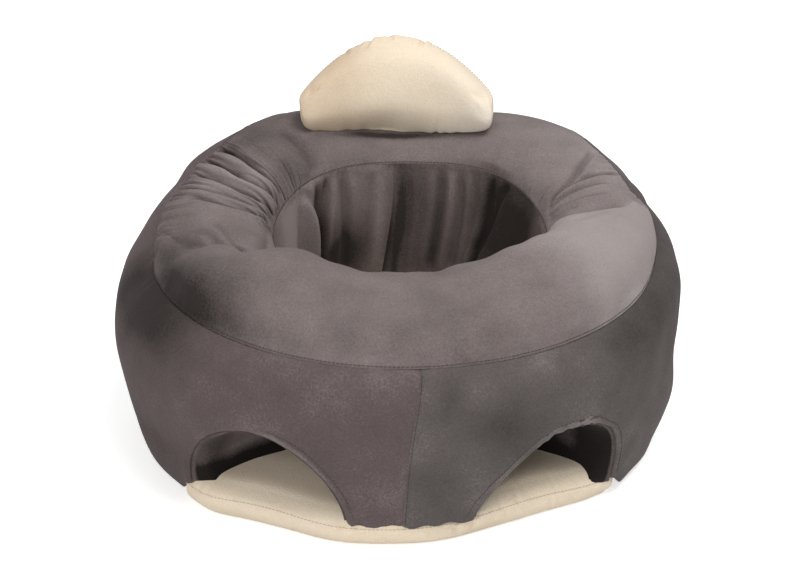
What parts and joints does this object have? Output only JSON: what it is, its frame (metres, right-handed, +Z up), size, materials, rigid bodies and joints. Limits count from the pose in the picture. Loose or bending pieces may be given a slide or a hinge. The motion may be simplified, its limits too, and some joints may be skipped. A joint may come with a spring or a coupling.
{
  "type": "baby floor seat",
  "caption": "Round stuffed plush floor seat with a central well, leg openings either side of a front pommel, a flat base cushion and a half-moon head pillow.",
  "frame": {"origin": "on the floor under the middle of the seat", "axes": "+Z up, +X to the left hand of the baby who faces -Y, +Y towards the head pillow"},
  "size_m": [0.4544, 0.448, 0.2748],
  "materials": {
    "plush_grey": "short-pile plush with a soft nap",
    "plush_cream": "smooth short-pile plush",
    "fibre_bag": "polyester fibre in a thin white bag",
    "zip_tape": "woven zip tape",
    "zip_tooth": "moulded, satin",
    "zip_metal": "nickel-plated, satin"
  },
  "bodies": {
    "seat": {"base_bottom_cover": "plush_cream", "base_top_cover": "plush_cream", "base_filling": "fibre_bag", "ring_bottom_lining": "fibre_bag", "ring_filling": "fibre_bag", "outer_wall_left": "plush_grey", "outer_wall_right": "plush_grey", "ring_top_panel": "plush_grey", "well_lining_left": "plush_grey", "well_lining_right": "plush_grey", "leg_tunnel_left": "plush_grey", "leg_tunnel_right": "plush_grey", "zip_tape_front": "zip_tape", "zip_tape_back": "zip_tape", "zip_teeth_front": "zip_tooth", "zip_teeth_back": "zip_tooth", "zip_end_stops": "zip_metal"},
    "head_pillow": {"pillow_front_cover": "plush_cream", "pillow_back_cover": "plush_cream", "pillow_base_cover": "plush_cream", "pillow_filling": "fibre_bag"},
    "zip_slider": {"zip_slider": "zip_metal"},
    "zip_pull": {"zip_pull": "zip_metal"}
  },
  "joints": [
    {"name": "pillow_fold", "type": "hinge", "parent": "seat", "child": "head_pillow", "pos_m": [0, 0.1827, 0.1989], "axis": [-1, 0, 0], "range_deg": [0, 35], "stiffness_Nm_per_rad": 0.15},
    {"name": "zip_slide", "type": "slide", "parent": "seat", "child": "zip_slider", "axis": [-1, 0, 0], "range_m": [0, 0.2332], "deforming": ["zip_teeth_front", "zip_teeth_back"]},
    {"name": "pull_swing", "type": "hinge", "parent": "zip_slider", "child": "zip_pull", "pos_m": [0.12, 0.062, 0.0019], "axis": [0, -1, 0], "range_deg": [0, 150]}
  ]
}
